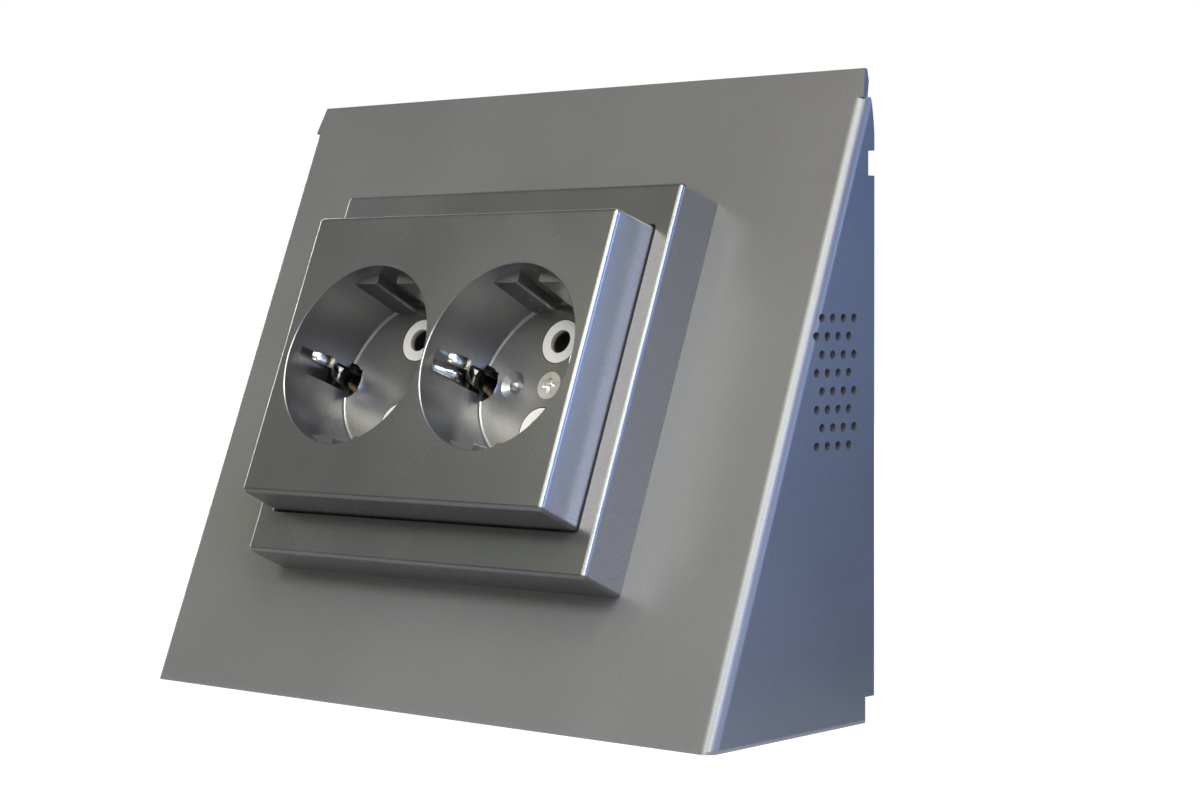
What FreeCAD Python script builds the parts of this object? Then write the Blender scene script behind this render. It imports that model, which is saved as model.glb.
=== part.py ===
import FreeCAD, Part
import math
import os
from FreeCAD import Vector

# Corner power strip: a folded sheet-metal hood with a slanted front carries a double earthed socket.
# The hood hangs on a wall bracket. Millimetres, +Z up, wall plane at Y = 0, front towards -Y.
# The model is built with Z = 0 at the hood's lower edge and shifted to the fixing centre when saved.
# The socket's pieces are built in the plate's own frame: x along it, y up its slope and z outwards,
# with its origin at the middle of the plate's outer face.

# Folded hood
hood_width = 155.8
plate_length = 138.0
plate_tilt = 21.9
top_wall_gap = 0.6
sheet = 1.5
bend_radius = 2.4
cheek_end_drop = 6.3
ear_taper = 1.7
cheek_lean_drop = 7.2
cheek_lean = 1.1
cheek_lean_bow = 0.15
notch_drop = 10.3
notch_height = 4.9
notch_depth = 2.1
heel_height = 5.1
heel_depth = 3.0

# Vent holes in the right cheek
vent_radius = 0.9
vent_pitch = 3.5
vent_columns = 4
vent_rows = 8
vent_centre_back = 13.0
vent_centre_height = 67.0

# Wall bracket
bracket_sheet = 1.5
bracket_side_gap = 0.6
bracket_shelf_height = 3.0
bracket_shelf_gap = 0.5
bracket_drop = 28.0
bracket_flange = 6.0
bracket_bend = 2.5
fixing_pitch_x = 100.0
fixing_pitch_z = 60.0
fixing_radius = 2.25

# Cable entry and its rubber grommet
entry_height = 20.0
entry_radius = 8.0
grommet_bore = 4.0
grommet_lip = 2.0
grommet_lip_thickness = 1.5
grommet_neck = 4.5
grommet_neck_wall = 1.5
grommet_neck_draft = 1.0

# Hanger hooks and lower fixings of the hood
hook_width = 10.0
hook_inset = 32.9
hook_reach = 6.0
hook_leg = 9.0
hook_wall_gap = 3.1
slot_clearance = 0.35
angle_width = 14.0
angle_leg = 12.0
angle_shelf = 11.0
fixing_screw_radius = 2.0
fixing_head_radius = 3.9
fixing_head_height = 2.4
fixing_screw_length = 9.0
fixing_screw_back = 7.0
fixing_nut_flats = 7.0
fixing_nut_height = 2.6
fixing_hole_play = 0.25

# Earth stud, nut, washer and bonding lead
stud_inset = 11.9
stud_y = -30.0
earth_tab_x = 32.0
earth_tab_width = 6.3
earth_tab_reach = 6.5
receptacle_length = 8.0
receptacle_wall = 0.4
receptacle_stop = 1.0
crimp_length = 4.0
crimp_overlap = 0.5
lug_tongue = 2.0
lead_loop = 9.0
lead_dip = 4.0
stud_radius = 2.0
stud_length = 11.0
lug_thickness = 0.8
lug_radius = 4.0
stud_nut_height = 3.2
stud_nut_flats = 7.0
washer_thickness = 1.0
washer_radius = 4.4
lead_radius = 1.5

# Cover frame
frame_border_x = 4.35
frame_border_y = 8.95
frame_flare = 0.5
frame_wall = 2.0
frame_edge = 0.9
frame_gap = 0.3
gap_edge = 0.25

# Socket cover
cover_side = 2.35
cover_end = 11.3
cover_rise = 10.7
cover_flare = 0.6
cover_wall = 2.0
cover_edge = 0.9
lip_clearance = 0.35
lip_thickness = 1.5
socket_web = 0.5
mouth_radius = 19.75
recess_draft = 1.65
recess_depth = 17.0
cup_wall = 1.2
cup_floor = 1.8
mouth_edge = 0.15
floor_fillet = 0.8
ledge_height = 2.5
ledge_drop = 3.5
ledge_groove = 5.6
ledge_edge = 0.7
pin_pitch = 19.0
pin_bore = 2.5
pin_lip = 1.6
pin_pocket = 4.0
collar_radius = 4.65
collar_gap = 0.2
earth_hole_radius = 4.0
earth_hole_offset = 0.2
earth_slot_half = 2.6
earth_well_radius = 3.6
earth_slot_drop = 2.8
dimple_offset = 10.0
dimple_radius = 3.0
dimple_depth = 1.0
dome_radius = 1.5

# Screw that holds the cover
cover_screw_head = 2.95
cover_screw_radius = 1.75
cover_screw_cone = 1.4
cover_screw_length = 12.0
cross_width = 0.9
cross_length = 3.4
cross_depth = 1.0
bush_wall = 0.9
bush_length = 8.0
fit_clearance = 0.05

# Support plate between the hood and the socket
support_sheet = 1.2
support_gap = 0.85
support_play = 0.2
support_corner = 4.0
support_screw_inset = 6.5
support_screw_radius = 1.75
support_head_radius = 3.3
support_head_height = 2.2
support_screw_length = 6.5
plate_thread_depth = 1.6
opening_gap = 0.5
opening_corner = 1.5

# Socket base and the parts behind it
base_side = 7.0
base_wall = 1.4
base_play = 0.3
base_corner = 2.0
mould_overlap = 0.1
base_front = 2.7
base_flange_side = 2.6
base_flange_end = 8.5
base_flange_thickness = 1.6
base_to_cover = 0.2
chamber_rib = 1.2
rivet_radius = 1.5
rivet_head = 2.6
rivet_head_height = 0.9
rivet_spacing = 62.0
rivet_inset = 2.5
rear_thickness = 1.5
block_width = 48.0
block_length = 14.5
block_depth = 8.5
block_wall = 1.4
terminal_pitch = 14.0

# Contacts
rail_sheet = 0.8
rail_width = 5.0
leaf_sheet = 0.7
leaf_width = 5.0
leaf_gap = 4.2
leaf_flare = 0.8
leaf_root_gap = 0.15
leaf_foot_set = 0.5
leaf_foot_height = 2.0
leaf_mouth_height = 2.0
leaf_mouth_gap = 0.5
pin_length = 19.0
pin_tip_room = 0.6
earth_rail_level = 12.0
earth_sheet = 0.6
earth_width = 4.0
earth_tip_width = 2.4
clip_root_offset = 0.1
clip_knee_height = 4.5
clip_crest_inset = 5.15
clip_crest_depth = 7.4
clip_end_inset = 3.2
clip_end_depth = 3.7
clip_root_gap = 0.2
clip_crest_bow = 0.3
clip_crest_low = 1.2
clip_crest_high = 1.0
earth_pocket_inside = 2.0
earth_pocket_outside = 1.2

# Terminals
tail_width = 6.0
tail_set = 1.2
tail_gap = 0.4
clamp_sheet = 0.4
clamp_width = 8.4
clamp_leg_gap = 0.2
clamp_root_gap = 0.15
clamp_tip_gap = 0.3
clamp_slope = 45.0
wire_hole = 1.5
wire_offset = 2.6
button_width = 3.0
button_thickness = 2.2
button_travel = 1.2
button_rest = 0.4
button_clearance = 0.2
button_gap = 0.3
button_flange = 0.7

# Worked-out places
tilt_sin = math.sin(math.radians(plate_tilt))
tilt_cos = math.cos(math.radians(plate_tilt))
hood_depth = plate_length * tilt_sin + top_wall_gap
bracket_height = plate_length * tilt_cos - bracket_drop
fixing_height = (bracket_height + bracket_shelf_height) / 2
hook_spacing = hood_width - 2 * hook_inset
stud_x = hood_width / 2 - stud_inset
flange_bottom = support_sheet
flange_top = flange_bottom + base_flange_thickness
cup_bottom = flange_top + base_to_cover
floor_level = cup_bottom + cup_floor
cover_top = floor_level + recess_depth
frame_height = cover_top - cover_rise
floor_radius = mouth_radius - recess_draft
socket_pitch = 2 * mouth_radius + socket_web
cover_width = socket_pitch + 2 * mouth_radius + 2 * cover_side
cover_length = 2 * mouth_radius + 2 * cover_end
frame_width = cover_width + 2 * (cover_flare + frame_gap + frame_border_x)
frame_length = cover_length + 2 * (cover_flare + frame_gap + frame_border_y)
lip_width = frame_border_x + frame_gap - frame_wall - lip_clearance
lip_top = frame_height - frame_wall - lip_clearance / 2
lip_bottom = lip_top - lip_thickness
earth_hole_reach = floor_radius + earth_hole_offset
clip_root_reach = floor_radius + clip_root_offset
clip_crest_reach = mouth_radius - clip_crest_inset
clip_end_reach = mouth_radius - clip_end_inset
base_width = socket_pitch + 2 * (clip_root_reach + earth_sheet / 2 + base_play + base_wall)
base_length = pin_pitch + 2 * base_side
base_flange_width = base_width + 2 * base_flange_side
base_flange_length = base_length + 2 * base_flange_end
support_width = frame_width - 2 * frame_wall - 2 * support_gap
support_length = frame_length - 2 * frame_wall - 2 * support_gap
support_screw_x = support_width - 2 * support_screw_inset
support_screw_y = (base_flange_length + support_length) / 2
rivet_y = base_flange_length - 2 * rivet_inset
chamber_top = flange_bottom - base_front
rail_level = floor_level - pin_length - pin_tip_room
base_rear = rail_level - rail_sheet - fit_clearance
rear_face = base_rear - rear_thickness
block_rear = rear_face - block_depth
block_low = -base_length / 2
block_top = block_low + block_length
earth_level = flange_top - earth_rail_level
tail_back = block_top - block_wall - tail_set
tail_level = rear_face - tail_gap
socket_sides = (-1, 1)
terminals = (("neutral", -terminal_pitch), ("earth", 0.0), ("line", terminal_pitch))


def box(low, high):
    size = Vector(high[0] - low[0], high[1] - low[1], high[2] - low[2])
    return Part.makeBox(size.x, size.y, size.z, Vector(*low))


def centred_box(width, length, low, high):
    return box((-width / 2, -length / 2, low), (width / 2, length / 2, high))


def rod(radius, x, y, low, high):
    return Part.makeCylinder(radius, high - low, Vector(x, y, low))


def cone(low_radius, high_radius, x, y, low, high):
    return Part.makeCone(low_radius, high_radius, high - low, Vector(x, y, low))


def prism(points, direction):
    corners = [Vector(*point) for point in points]
    return Part.Face(Part.makePolygon(corners + corners[:1])).extrude(direction)


def side_prism(points, low, high):
    return prism([(low, y, z) for y, z in points], Vector(high - low, 0, 0))


def hexagon(flats, x, y, low, high):
    corner = flats / math.sqrt(3)
    turns = [math.radians(60 * step) for step in range(6)]
    points = [(x + corner * math.cos(turn), y + corner * math.sin(turn), low) for turn in turns]
    return prism(points, Vector(0, 0, high - low))


def upright_edges(shape):
    edges = []
    for edge in shape.Edges:
        run = edge.Vertexes[-1].Point - edge.Vertexes[0].Point
        if run.Length > 0 and abs(run.z) > 0.9 * run.Length:
            edges.append(edge)
    return edges


def rounded_box(width, length, low, high, corner):
    block = centred_box(width, length, low, high)
    return block.makeFillet(corner, upright_edges(block))


def flared_box(width, length, low, high, flare):
    """A block that grows by the flare on each side from its high face to its low one."""
    wires = []
    for level, extra in ((low, flare), (high, 0.0)):
        half_x = width / 2 + extra
        half_y = length / 2 + extra
        corners = [Vector(-half_x, -half_y, level), Vector(half_x, -half_y, level)]
        corners += [Vector(half_x, half_y, level), Vector(-half_x, half_y, level)]
        wires.append(Part.makePolygon(corners + corners[:1]))
    return Part.makeLoft(wires, True, True)


def edges_at(shape, level):
    return [edge for edge in shape.Edges
            if all(abs(vertex.Z - level) < 1e-6 for vertex in edge.Vertexes)]


def strip(points, thickness, low, high):
    """A bent sheet strip: its middle line runs through points given as (x, z), its width along y."""
    left = []
    right = []
    for index, (x, z) in enumerate(points):
        before = points[max(index - 1, 0)]
        after = points[min(index + 1, len(points) - 1)]
        run_in = Vector(x - before[0], 0, z - before[1])
        run_out = Vector(after[0] - x, 0, after[1] - z)
        if run_in.Length > 0:
            run_in.normalize()
        if run_out.Length > 0:
            run_out.normalize()
        along = (run_in + run_out).normalize()
        straight = max(run_in.Length, run_out.Length)
        turn = along.dot(run_out if run_out.Length > 0 else run_in) / straight
        aside = Vector(-along.z, 0, along.x) * (thickness / 2 / turn)
        left.append((x + aside.x, low, z + aside.z))
        right.append((x - aside.x, low, z - aside.z))
    return prism(left + right[::-1], Vector(0, high - low, 0))


def across_strip(points, x, width, thickness):
    """A bent strip whose middle line runs through points given as (y, z)."""
    shape = strip(points, thickness, -width / 2, width / 2)
    shape.rotate(Vector(0, 0, 0), Vector(0, 0, 1), 90)
    shape.translate(Vector(x, 0, 0))
    return shape


def on_plate(shape):
    """Moves a piece from the plate's own frame to its place on the slanted front."""
    middle = Vector(0, -hood_depth + plate_length / 2 * tilt_sin, plate_length / 2 * tilt_cos)
    turn = FreeCAD.Rotation(Vector(1, 0, 0), 90 - plate_tilt)
    placed = shape.copy()
    placed.Placement = FreeCAD.Placement(middle, turn).multiply(placed.Placement)
    return placed


def save(name, shape):
    shape = shape.copy()
    shape.translate(Vector(0, 0, -fixing_height))
    shape.exportStep("parts/" + name + ".step")


def plate_line(height, inset):
    """The (y, z) point at a height on the front plate's face, moved inwards by the inset."""
    return (-hood_depth + height * tilt_sin / tilt_cos + inset / tilt_cos, height)


# Hood: one folded blank with a slanted front plate and a cheek on each side
def cheek_outline():
    bend_end = (plate_length - cheek_end_drop) * tilt_cos
    notch_top = bend_end - notch_drop
    lean_start = Vector(0, 0, bend_end - cheek_lean_drop)
    lean_end = Vector(0, -cheek_lean, bend_end)
    lean_middle = (lean_start + lean_end) * 0.5 + Vector(0, cheek_lean_bow, 0)
    front_top = Vector(0, *plate_line(bend_end, 0))
    corners = [(-heel_depth, 0), (-heel_depth, heel_height), (0, heel_height)]
    corners += [(0, notch_top - notch_height), (-notch_depth, notch_top - notch_height)]
    corners += [(-notch_depth, notch_top), (0, notch_top)]
    points = [Vector(0, -hood_depth, 0)] + [Vector(0, y, z) for y, z in corners] + [lean_start]
    back = Part.makePolygon(points)
    lean = Part.Arc(lean_start, lean_middle, lean_end).toShape()
    close = Part.makePolygon([lean_end, front_top, points[0]])
    return Part.Face(Part.Wire(back.Edges + [lean] + close.Edges))


def long_slanted_edges(shape):
    slope = Vector(0, tilt_sin, tilt_cos)
    edges = []
    for edge in shape.Edges:
        run = edge.Vertexes[-1].Point - edge.Vertexes[0].Point
        if run.Length > plate_length / 2 and abs(run.dot(slope)) > 0.999 * run.Length:
            edges.append(edge)
    return edges


def vent_holes():
    holes = []
    for row in range(vent_rows):
        shift = vent_pitch / 4 if row % 2 else -vent_pitch / 4
        for column in range(vent_columns):
            back = -vent_centre_back + (column - (vent_columns - 1) / 2) * vent_pitch + shift
            up = vent_centre_height + (row - (vent_rows - 1) / 2) * vent_pitch
            start = Vector(hood_width / 2 - 2 * sheet, back, up)
            holes.append(Part.makeCylinder(vent_radius, 3 * sheet, start, Vector(1, 0, 0)))
    return holes


def support_screw_places():
    return [(side * support_screw_x / 2, end * support_screw_y / 2)
            for side in socket_sides for end in socket_sides]


def make_hood():
    outside = cheek_outline().extrude(Vector(hood_width, 0, 0))
    outside.translate(Vector(-hood_width / 2, 0, 0))
    outside = outside.makeFillet(bend_radius, long_slanted_edges(outside))
    top = 2 * plate_length
    reach = 2 * hood_depth
    low = plate_line(-plate_length, sheet)
    high = plate_line(top, sheet)
    inner_points = [low, (high[0] + reach, low[1]), (high[0] + reach, high[1]), high]
    half = hood_width / 2 - sheet
    inside = side_prism(inner_points, -half, half)
    inside = inside.makeFillet(bend_radius - sheet, long_slanted_edges(inside)[:2])
    bend_end = plate_length / 2 - cheek_end_drop
    low_half = hood_width / 2 - bend_radius / 4
    ear_points = [(-low_half, bend_end, -sheet), (low_half, bend_end, -sheet)]
    ear_points += [(hood_width / 2 - ear_taper, plate_length / 2, -sheet)]
    ear_points += [(-hood_width / 2 + ear_taper, plate_length / 2, -sheet)]
    ears = on_plate(prism(ear_points, Vector(0, 0, sheet)))
    hood = outside.cut(inside).fuse(ears)
    cutouts = [on_plate(rounded_box(base_width + 2 * opening_gap, base_length + 2 * opening_gap,
                                    -2 * sheet, sheet, opening_corner))]
    threads = []
    for x, y in support_screw_places():
        thread_low = -sheet - plate_thread_depth
        threads.append(on_plate(rod(2 * support_screw_radius, x, y, thread_low, -sheet / 2)))
        cutouts.append(on_plate(rod(support_screw_radius + fit_clearance, x, y, -4 * sheet, sheet)))
    behind_wall = box((-hood_width, 0, -hood_width), (hood_width, hood_depth, 2 * plate_length))
    return hood.fuse(threads).cut(cutouts + vent_holes() + [behind_wall]).removeSplitter()


# Wall bracket: back panel, lower shelf and slotted top flange of one folded sheet
def hook_slots():
    slots = []
    for side in socket_sides:
        half = hook_width / 2 + slot_clearance
        middle = side * hook_spacing / 2
        back = -hook_wall_gap + slot_clearance
        front = -hook_wall_gap - sheet - slot_clearance
        slots.append(box((middle - half, front, bracket_height - 2 * bracket_sheet),
                         (middle + half, back, bracket_height + bracket_sheet)))
    return slots


def fixing_places():
    return [(side * fixing_pitch_x / 2, fixing_height + end * fixing_pitch_z / 2)
            for side in socket_sides for end in socket_sides]


def hood_screw_y():
    return plate_line(bracket_shelf_height, sheet)[0] + fixing_screw_back


def make_bracket():
    half = hood_width / 2 - sheet - bracket_side_gap
    shelf_top = bracket_shelf_height + bracket_sheet
    front = plate_line(shelf_top, sheet)[0] + bracket_shelf_gap
    flange_front = -bracket_flange
    outline = [(0, bracket_shelf_height), (0, bracket_height), (flange_front, bracket_height)]
    outline += [(flange_front, bracket_height - bracket_sheet)]
    outline += [(-bracket_sheet, bracket_height - bracket_sheet), (-bracket_sheet, shelf_top)]
    outline += [(front, shelf_top), (front, bracket_shelf_height)]
    bracket = side_prism(outline, -half, half)
    corner = [edge for edge in bracket.Edges
              if abs(edge.BoundBox.ZMax - bracket_shelf_height) < 1e-6
              and abs(edge.BoundBox.YMin) < 1e-6 and edge.Length > half]
    bracket = bracket.makeFillet(bracket_bend, corner)
    holes = hook_slots()
    for x, z in fixing_places():
        start = Vector(x, sheet, z)
        holes.append(Part.makeCylinder(fixing_radius, 3 * bracket_sheet + sheet, start, Vector(0, -1, 0)))
    entry = Vector(0, sheet, entry_height)
    holes.append(Part.makeCylinder(entry_radius, 3 * bracket_sheet + sheet, entry, Vector(0, -1, 0)))
    for side in socket_sides:
        place = side * hook_spacing / 2
        holes.append(rod(fixing_screw_radius + fixing_hole_play, place, hood_screw_y(), 0, 2 * shelf_top))
    return bracket.cut(holes)


def make_grommet():
    along = Vector(0, -1, 0)
    lip_back = Vector(0, -bracket_sheet, entry_height)
    neck_back = lip_back + along * grommet_lip_thickness
    bore_back = Vector(0, bracket_sheet, entry_height)
    neck_radius = grommet_bore + grommet_neck_wall
    start = Vector(0, 0, entry_height)
    middle = Part.makeCylinder(entry_radius - fit_clearance, bracket_sheet, start, along)
    lip = Part.makeCylinder(entry_radius + grommet_lip, grommet_lip_thickness, lip_back, along)
    neck = Part.makeCone(neck_radius + grommet_neck_draft, neck_radius, grommet_neck, neck_back, along)
    bore = Part.makeCylinder(grommet_bore, hood_depth / 2, bore_back, along)
    return middle.fuse([lip, neck]).cut(bore).removeSplitter()


# Hooks and angles welded inside the hood, and the screws from below
def make_hooks():
    hooks = []
    top = bracket_height + sheet
    back = -hook_wall_gap
    weld_low = plate_line(bracket_height, sheet)
    weld_high = plate_line(bracket_height + hook_leg, sheet)
    inner_high = plate_line(bracket_height + hook_leg, 2 * sheet)
    inner_low = plate_line(top, 2 * sheet)
    outline = [weld_low, weld_high, inner_high, inner_low, (back, top)]
    outline += [(back, bracket_height - hook_reach), (back - sheet, bracket_height - hook_reach)]
    outline += [(back - sheet, bracket_height)]
    for side in socket_sides:
        middle = side * hook_spacing / 2
        hooks.append(side_prism(outline, middle - hook_width / 2, middle + hook_width / 2))
    return Part.makeCompound(hooks)


def make_angles():
    angles = []
    low = bracket_shelf_height + bracket_sheet
    top = low + sheet
    back = hood_screw_y() + angle_shelf / 2
    outline = [plate_line(low, sheet), (back, low), (back, top), plate_line(top, 2 * sheet)]
    outline += [plate_line(low + angle_leg, 2 * sheet), plate_line(low + angle_leg, sheet)]
    for side in socket_sides:
        middle = side * hook_spacing / 2
        angle = side_prism(outline, middle - angle_width / 2, middle + angle_width / 2)
        nut = hexagon(fixing_nut_flats, middle, hood_screw_y(), top - sheet / 2, top + fixing_nut_height)
        bore = rod(fixing_screw_radius + fit_clearance, middle, hood_screw_y(), 0, 4 * top)
        angles.append(angle.fuse(nut).cut(bore).removeSplitter())
    return Part.makeCompound(angles)


def cross_recess(x, y, top):
    slot = box((-cross_length / 2, -cross_width / 2, top - cross_depth),
               (cross_length / 2, cross_width / 2, top + cross_depth))
    other = slot.copy()
    other.rotate(Vector(0, 0, 0), Vector(0, 0, 1), 90)
    cross = slot.fuse(other)
    cross.translate(Vector(x, y, 0))
    return cross


def pan_screw(radius, head_radius, head_height, length):
    """A pan-head screw with its head's seat at z = 0 and its shank downwards."""
    head = rod(head_radius, 0, 0, 0, head_height)
    head = head.makeFillet(head_height / 2, edges_at(head, head_height))
    shank = rod(radius, 0, 0, -length, 0)
    tip = shank.makeChamfer(radius / 4, edges_at(shank, -length))
    return head.fuse(tip).cut(cross_recess(0, 0, head_height)).removeSplitter()


def make_hood_screws():
    screws = []
    for side in socket_sides:
        screw = pan_screw(fixing_screw_radius, fixing_head_radius, fixing_head_height,
                          fixing_screw_length)
        screw.rotate(Vector(0, 0, 0), Vector(1, 0, 0), 180)
        screw.translate(Vector(side * hook_spacing / 2, hood_screw_y(), bracket_shelf_height))
        screws.append(screw)
    return Part.makeCompound(screws)


# Earth bonding of the metal housing
def make_stud():
    return rod(stud_radius, stud_x, stud_y, -sheet - stud_length, -sheet)


def make_washer():
    low = -sheet - washer_thickness
    ring = rod(washer_radius, stud_x, stud_y, low, -sheet)
    return ring.cut(rod(stud_radius + fit_clearance, stud_x, stud_y, low - 1, 0))


def lug_level():
    return -sheet - washer_thickness - lug_thickness


def make_nut():
    top = lug_level()
    nut = hexagon(stud_nut_flats, stud_x, stud_y, top - stud_nut_height, top)
    bore = rod(stud_radius + fit_clearance, stud_x, stud_y, top - 2 * stud_nut_height, 0)
    return nut.cut(bore)


def receptacle_end():
    return block_low - opening_gap - receptacle_length


def make_receptacle():
    """The push-on sleeve that joins the bonding lead to the tab of the earth rail."""
    half = earth_tab_width / 2 + fit_clearance
    middle = earth_level - rail_sheet / 2
    thick = rail_sheet / 2 + fit_clearance
    low = receptacle_end()
    high = block_low - opening_gap
    body = box((earth_tab_x - half - receptacle_wall, low, middle - thick - receptacle_wall),
               (earth_tab_x + half + receptacle_wall, high, middle + thick + receptacle_wall))
    hollow = box((earth_tab_x - half, low + receptacle_stop, middle - thick),
                 (earth_tab_x + half, 0, middle + thick))
    barrel_start = Vector(earth_tab_x, low + crimp_overlap, middle)
    barrel = Part.makeCylinder(lead_radius + receptacle_wall, crimp_length, barrel_start, Vector(0, -1, 0))
    return body.cut(hollow).fuse(barrel).removeSplitter()


def make_lug():
    level = lug_level()
    ring = rod(lug_radius, stud_x, stud_y, level, level + lug_thickness)
    end = stud_x - lug_radius - lug_tongue
    tongue = box((end, stud_y - lead_radius, level),
                 (stud_x - lug_radius / 2, stud_y + lead_radius, level + lug_thickness))
    crimp_start = Vector(end + crimp_overlap, stud_y, lug_middle())
    crimp = Part.makeCylinder(lead_radius + lug_thickness / 2, crimp_length, crimp_start, Vector(-1, 0, 0))
    hole = rod(stud_radius + fit_clearance, stud_x, stud_y, 2 * level, 0)
    return ring.fuse([tongue, crimp]).cut(hole).removeSplitter()


def lug_middle():
    return lug_level() + lug_thickness / 2 - lead_radius / 2


def make_lead():
    start_y = receptacle_end() + crimp_overlap - crimp_length
    start = Vector(earth_tab_x, start_y, earth_level - rail_sheet / 2)
    end = Vector(stud_x - lug_radius - lug_tongue + crimp_overlap - crimp_length, stud_y, lug_middle())
    low = Vector(start.x + (end.x - start.x) / 3, start.y - lead_loop, start.z - lead_dip)
    curve = Part.BSplineCurve()
    curve.interpolate([start, low, end], InitialTangent=Vector(0, -1, 0), FinalTangent=Vector(1, 0, 0))
    path = Part.Wire([curve.toShape()])
    ring = Part.Wire([Part.Circle(start, Vector(0, -1, 0), lead_radius).toShape()])
    return path.makePipeShell([ring], True, True)


# Cover frame round the socket
def make_frame():
    body = flared_box(frame_width, frame_length, 0, frame_height, frame_flare)
    body = body.makeFillet(frame_edge, upright_edges(body))
    body = body.makeFillet(frame_edge, edges_at(body, frame_height))
    cavity = rounded_box(frame_width - 2 * frame_wall, frame_length - 2 * frame_wall,
                         -1, frame_height - frame_wall, frame_edge)
    width = cover_width + 2 * cover_flare + 2 * frame_gap
    length = cover_length + 2 * cover_flare + 2 * frame_gap
    mouth = rounded_box(width, length, frame_height / 2, frame_height + 1, cover_edge)
    frame = body.cut([cavity, mouth])
    inner = [edge for edge in edges_at(frame, frame_height)
             if abs(edge.BoundBox.Center.x) < width / 2 + gap_edge
             and abs(edge.BoundBox.Center.y) < length / 2 + gap_edge]
    return frame.makeFillet(gap_edge, inner)


# Socket cover with its two recesses
def socket_centres():
    return [side * socket_pitch / 2 for side in socket_sides]


def recess_radius(level):
    return floor_radius + (mouth_radius - floor_radius) * (level - floor_level) / recess_depth


def guide_ledge(x, end):
    """A flat ledge down a recess wall, in line with the pins and split by a groove, that keys the plug."""
    top = cover_top - ledge_drop
    outside = end * (mouth_radius + cup_wall)
    points = [(end * (recess_radius(cup_bottom) - ledge_height), cup_bottom)]
    points += [(end * (recess_radius(top) - ledge_height), top), (outside, top), (outside, cup_bottom)]
    block = side_prism(points, x - mouth_radius, x + mouth_radius)
    shell = cone(floor_radius + cup_wall / 2, mouth_radius + cup_wall / 2, x, 0, cup_bottom, cover_top)
    groove = centred_box(ledge_groove, 3 * mouth_radius, 0, cover_top)
    groove.translate(Vector(x, 0, 0))
    ledge = block.common(shell).cut(groove)
    corners = [edge for edge in upright_edges(ledge)
               if abs(edge.BoundBox.Center.x - x) < ledge_groove / 2 + gap_edge
               and abs(edge.BoundBox.Center.y) < mouth_radius - ledge_height / 2]
    return ledge.makeFillet(ledge_edge, corners)


def make_cover():
    foot_flare = cover_flare * (cover_top - lip_bottom) / cover_rise
    body = flared_box(cover_width, cover_length, lip_bottom, cover_top, foot_flare)
    body = body.makeFillet(cover_edge, upright_edges(body))
    body = body.makeFillet(cover_edge, edges_at(body, cover_top))
    lip_extra = 2 * cover_flare + 2 * lip_width
    lip = rounded_box(cover_width + lip_extra, cover_length + lip_extra, lip_bottom, lip_top, cover_edge)
    hollow = rounded_box(cover_width - 2 * cover_wall, cover_length - 2 * cover_wall,
                         lip_bottom - 1, cover_top - cover_wall, cover_edge)
    cover = body.fuse(lip).cut(hollow)
    cups = []
    recesses = []
    ledges = []
    details = []
    for x in socket_centres():
        outer_low = recess_radius(cup_bottom) + cup_wall
        outer_high = recess_radius(cover_top - cover_wall / 2) + cup_wall
        cups.append(cone(outer_low, outer_high, x, 0, cup_bottom, cover_top - cover_wall / 2))
        recess = cone(floor_radius, mouth_radius, x, 0, floor_level, cover_top)
        recess = recess.makeFillet(floor_fillet, edges_at(recess, floor_level))
        recesses.append(recess)
        recesses.append(cone(mouth_radius - mouth_edge, mouth_radius + mouth_edge, x, 0,
                             cover_top - 2 * mouth_edge, cover_top))
        ledges += [guide_ledge(x, end) for end in socket_sides]
        for side in socket_sides:
            details.append(rod(collar_radius + collar_gap, x, side * pin_pitch / 2, 0, cover_top))
            details.append(rod(earth_hole_radius, x + side * earth_hole_reach, 0, 0,
                               floor_level + floor_fillet))
            near = x + side * clip_crest_reach
            far = x + side * (mouth_radius + 2 * cup_wall)
            details.append(box((min(near, far), -earth_slot_half, 0),
                               (max(near, far), earth_slot_half, cover_top - earth_slot_drop)))
    right = socket_centres()[1]
    seat_low = floor_level - cover_screw_cone - fit_clearance
    details.append(cone(cover_screw_radius + fit_clearance, cover_screw_head + fit_clearance,
                        right, 0, seat_low, floor_level))
    details.append(rod(cover_screw_radius + fit_clearance, right, 0, 0, cover_top))
    dimple_x = right - dimple_offset
    dimple = cone(dome_radius, dimple_radius, dimple_x, 0, floor_level - dimple_depth, floor_level)
    dome = Part.makeSphere(dome_radius, Vector(dimple_x, 0, floor_level - dimple_depth - dome_radius / 3))
    dimple = dimple.cut(dome)
    return cover.fuse(cups).cut(recesses).fuse(ledges).cut(details + [dimple]).removeSplitter()


def make_cover_screw():
    x = socket_centres()[1]
    low = floor_level - cover_screw_cone
    head = cone(cover_screw_radius, cover_screw_head, x, 0, low, floor_level)
    shank = rod(cover_screw_radius, x, 0, floor_level - cover_screw_length, low)
    return head.fuse(shank).cut(cross_recess(x, 0, floor_level)).removeSplitter()


def bush_range():
    return flange_top - bush_length, flange_top


def make_bush():
    x = socket_centres()[1]
    low, high = bush_range()
    outer = rod(cover_screw_radius + fit_clearance + bush_wall, x, 0, low, high)
    return outer.cut(rod(cover_screw_radius + fit_clearance, x, 0, 2 * low, 2 * high))


# Support plate, its screws and the rivets of the base
def make_support():
    plate = rounded_box(support_width, support_length, 0, support_sheet, support_corner)
    holes = [rounded_box(base_width + 2 * opening_gap, base_length + 2 * opening_gap,
                         -support_sheet, 2 * support_sheet, opening_corner)]
    for x, y in support_screw_places():
        holes.append(rod(support_screw_radius + support_play, x, y, -support_sheet, 2 * support_sheet))
    for x, y in rivet_places():
        holes.append(rod(rivet_radius + fit_clearance, x, y, -support_sheet, 2 * support_sheet))
    return plate.cut(holes)


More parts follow.
